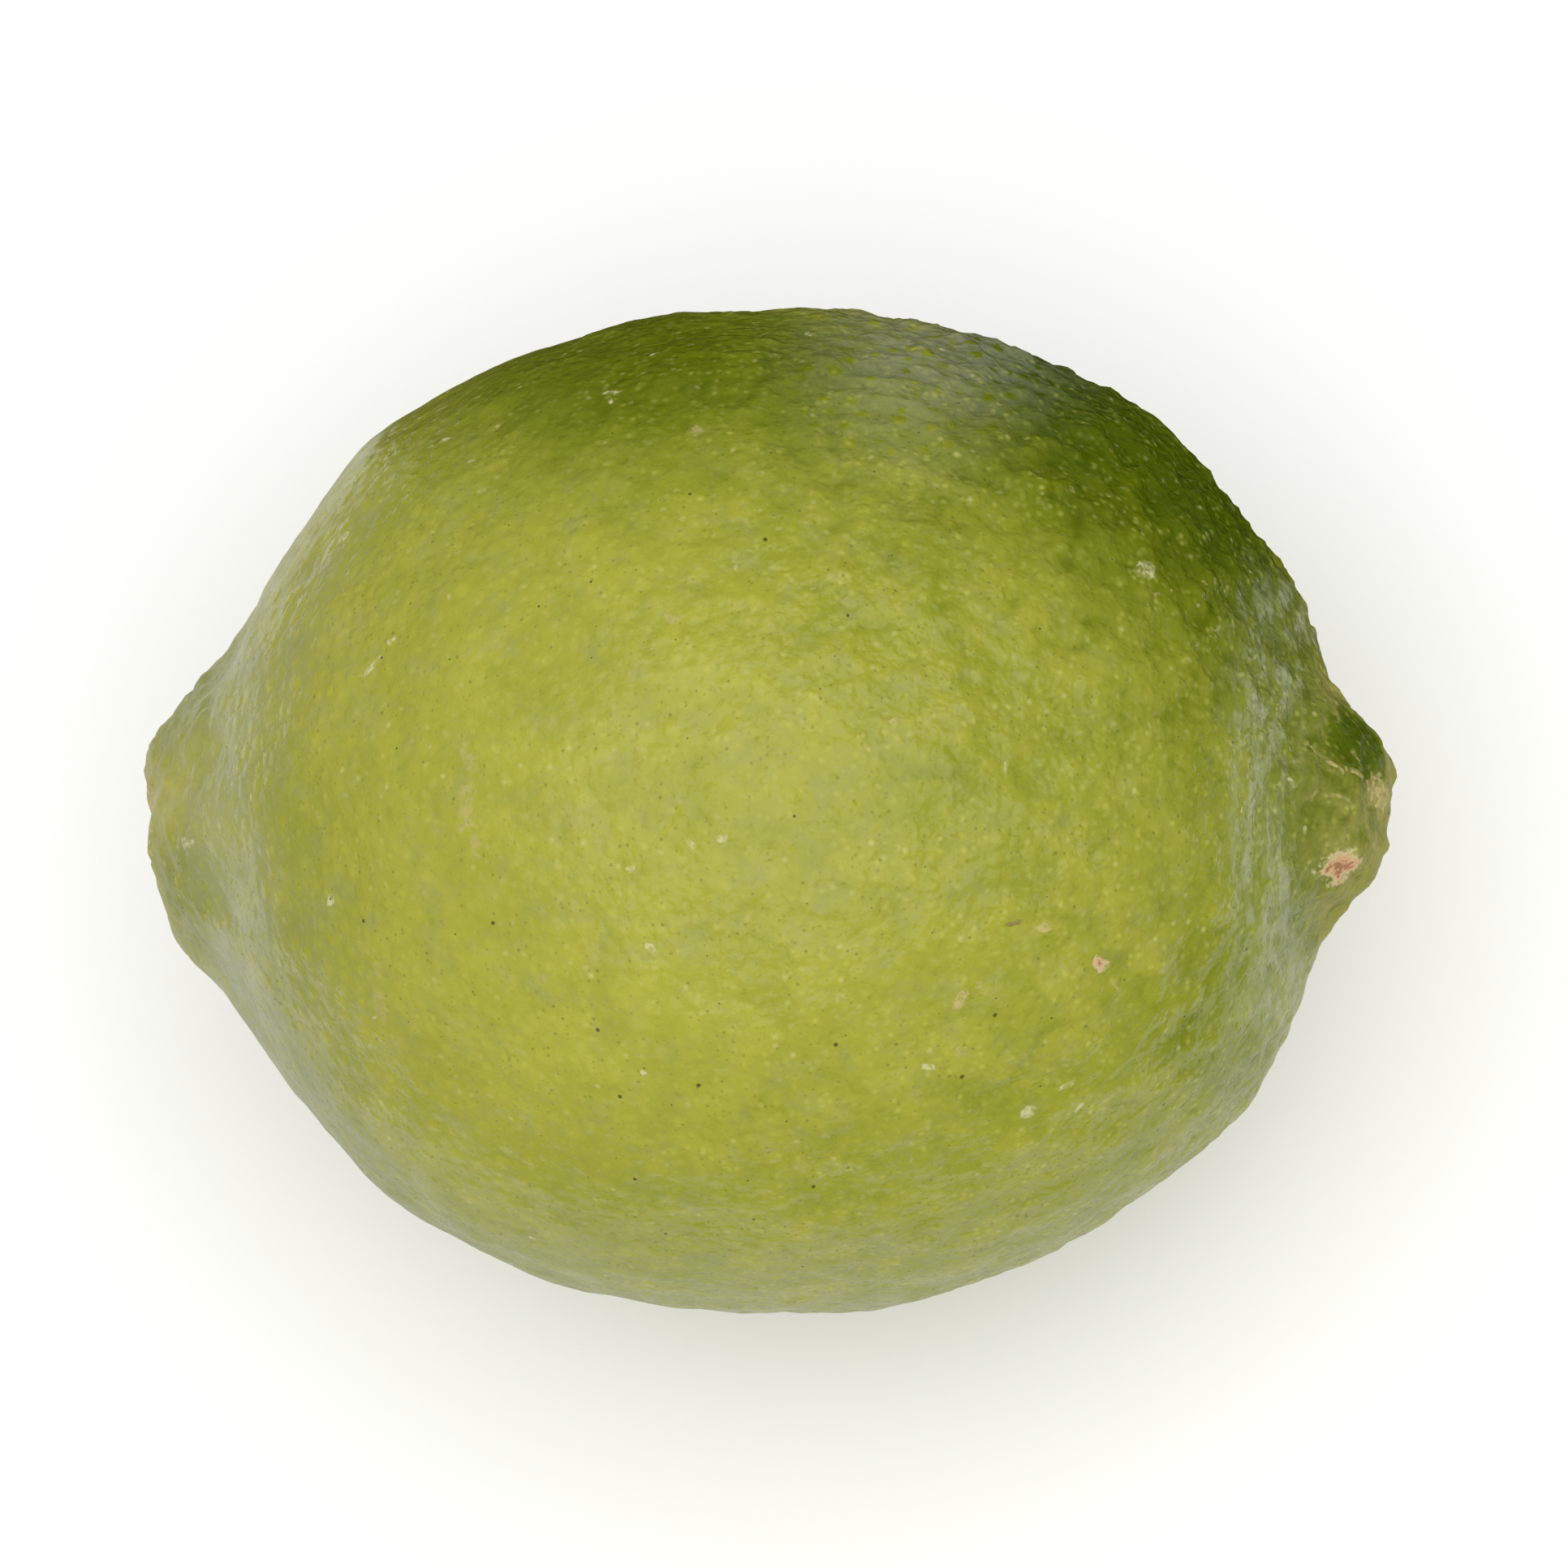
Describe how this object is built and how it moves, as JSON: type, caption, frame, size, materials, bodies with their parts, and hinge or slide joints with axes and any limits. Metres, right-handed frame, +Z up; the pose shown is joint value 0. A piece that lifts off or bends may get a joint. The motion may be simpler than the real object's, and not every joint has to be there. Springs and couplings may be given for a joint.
{
  "type": "lime",
  "caption": "Whole lime lying on its side, oval with a nippled blossom end and a broad stem-end nose, resting on a small flat spot.",
  "frame": {"origin": "middle of the fruit's footprint, on the surface that it lies on", "axes": "+X along the fruit towards its blossom end (the nipple), +Z up, +Y across"},
  "size_m": [0.0654, 0.052, 0.0516],
  "materials": {
    "rind": "waxy citrus rind: yellow-green with deep green patches, pitted with oil glands, satin sheen"
  },
  "bodies": {
    "root": {"lime": "rind"}
  },
  "joints": []
}
